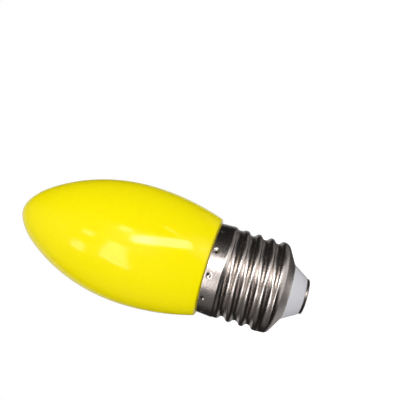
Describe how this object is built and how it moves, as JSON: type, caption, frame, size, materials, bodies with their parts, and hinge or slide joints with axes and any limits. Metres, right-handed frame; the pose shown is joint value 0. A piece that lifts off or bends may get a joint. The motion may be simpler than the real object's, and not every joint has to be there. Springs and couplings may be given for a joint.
{
  "type": "led candle bulb",
  "caption": "Candle-shaped LED bulb: a glossy yellow plastic envelope on a nickel-plated screw cap with a rolled thread, white insulator and centre contact.",
  "frame": {"origin": "centre of the bottom face of the centre contact, on the bulb's axis", "axes": "+Z along the bulb's axis, from the cap to the tip of the envelope; -Y is the side that the picture shows"},
  "size_m": [0.0352, 0.0354, 0.0865],
  "materials": {
    "yellow_plastic": "opaque glossy moulded plastic, coloured through",
    "nickel_plate": "bright nickel plate on thin rolled sheet",
    "white_plastic": "satin white moulded plastic",
    "contact_metal": "dull nickel-plated pressed disc"
  },
  "bodies": {
    "root": {"envelope": "yellow_plastic", "screw_shell": "nickel_plate", "insulator": "white_plastic", "centre_contact": "contact_metal"}
  },
  "joints": []
}
